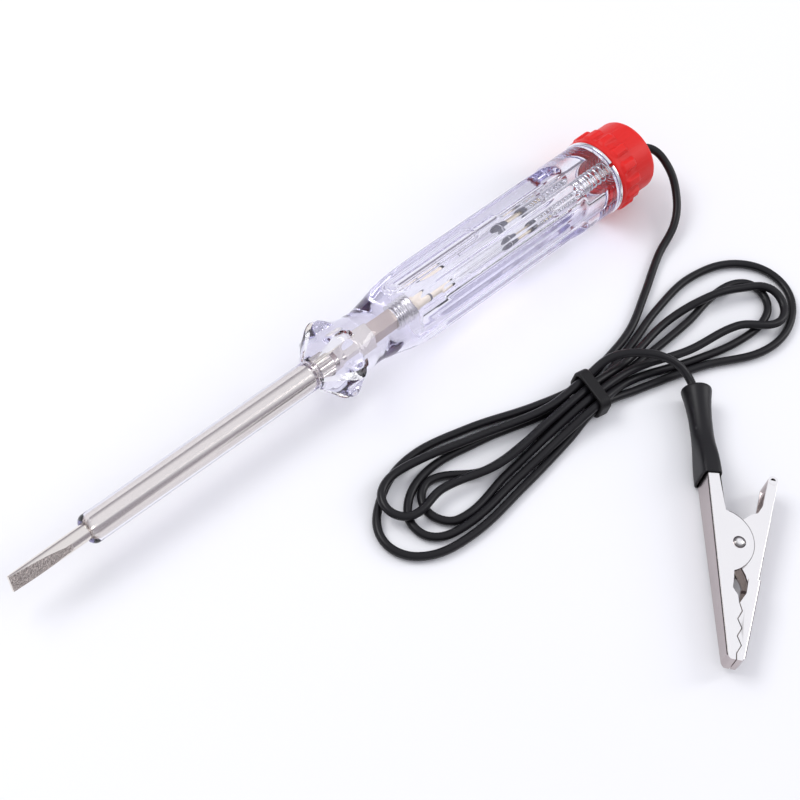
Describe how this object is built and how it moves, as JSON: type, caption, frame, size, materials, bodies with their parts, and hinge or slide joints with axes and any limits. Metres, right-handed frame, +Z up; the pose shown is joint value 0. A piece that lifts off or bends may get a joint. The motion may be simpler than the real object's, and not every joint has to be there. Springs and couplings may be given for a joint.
{
  "type": "circuit test light",
  "caption": "Screwdriver-bladed probe with a lamp in a clear fluted handle, a red screw cap, and a tied earth lead that ends in a toothed spring clip.",
  "frame": {"origin": "middle of the probe's length and width, at the surface that the probe lies on", "axes": "+X along the probe from the blade to the cap, +Z up from the surface, and the lead and clip lie towards -Y"},
  "size_m": [0.2034, 0.1183, 0.0199],
  "materials": {
    "nickel_steel": "nickel plated, fine ground",
    "sleeve_plastic": "clear, lavender tint",
    "clear_plastic": "clear, lavender tint",
    "contact_steel": "plated",
    "ivory_plastic": "satin",
    "lamp_glass": "clear",
    "filament_wire": "bare wire",
    "dark_plastic": "satin",
    "brass": "satin",
    "spring_steel": "drawn wire",
    "ring_chrome": "bright",
    "cap_plastic": "satin red",
    "lead_rubber": "matte sheen black",
    "tie_rubber": "matte black",
    "boot_rubber": "satin black",
    "clip_nickel": "bright nickel"
  },
  "bodies": {
    "lead": {"cap": "cap_plastic", "terminal": "contact_steel", "cord_stop": "contact_steel", "lead_spring": "spring_steel", "contact_spring": "spring_steel", "lead_cord": "lead_rubber", "lead_hank": "lead_rubber", "lead_end": "lead_rubber", "cord_tie": "tie_rubber", "clip_boot": "boot_rubber", "wire_crimp": "contact_steel", "clip_fixed_jaw": "clip_nickel", "clip_rivet": "clip_nickel", "clip_spring": "spring_steel"},
    "pin": {"contact_pin": "brass", "pin_collar": "dark_plastic"},
    "lamp": {"lamp_front_cap": "ivory_plastic", "lamp_glass": "lamp_glass", "lamp_filament": "filament_wire", "lamp_rear_cap": "dark_plastic"},
    "ring": {"split_ring": "ring_chrome"},
    "handle": {"handle": "clear_plastic", "sleeve": "sleeve_plastic", "shank": "nickel_steel", "front_contact": "contact_steel"},
    "jaw": {"clip_moving_jaw": "clip_nickel"}
  },
  "joints": [
    {"name": "pin_press", "type": "slide", "parent": "lead", "child": "pin", "axis": [1, 0, 0], "range_m": [0, 0.002], "stiffness_N_per_m": 200, "springref_m": -0.003, "deforming": ["contact_spring"]},
    {"name": "pull_off", "type": "slide", "parent": "lead", "child": "lamp", "axis": [-1, 0, 0], "range_m": [0, 0.06]},
    {"name": "unscrew_travel", "type": "slide", "parent": "lamp", "child": "ring", "axis": [-1, 0, 0], "range_m": [0, 0.0045]},
    {"name": "unscrew_turn", "type": "hinge", "parent": "ring", "child": "handle", "pos_m": [0, 0, 0.01], "axis": [-1, 0, 0], "range_deg": [0, 1080]},
    {"name": "jaw_pivot", "type": "hinge", "parent": "lead", "child": "jaw", "pos_m": [0.039, -0.0885, 0.0042], "axis": [0, 0, 1], "range_deg": [0, 30], "stiffness_Nm_per_rad": 0.3, "springref_deg": -34.38, "deforming": ["clip_spring"]}
  ],
  "couplings": [
    {"joint": "unscrew_turn", "follows": "unscrew_travel", "rad_per_m": 4188.8}
  ]
}
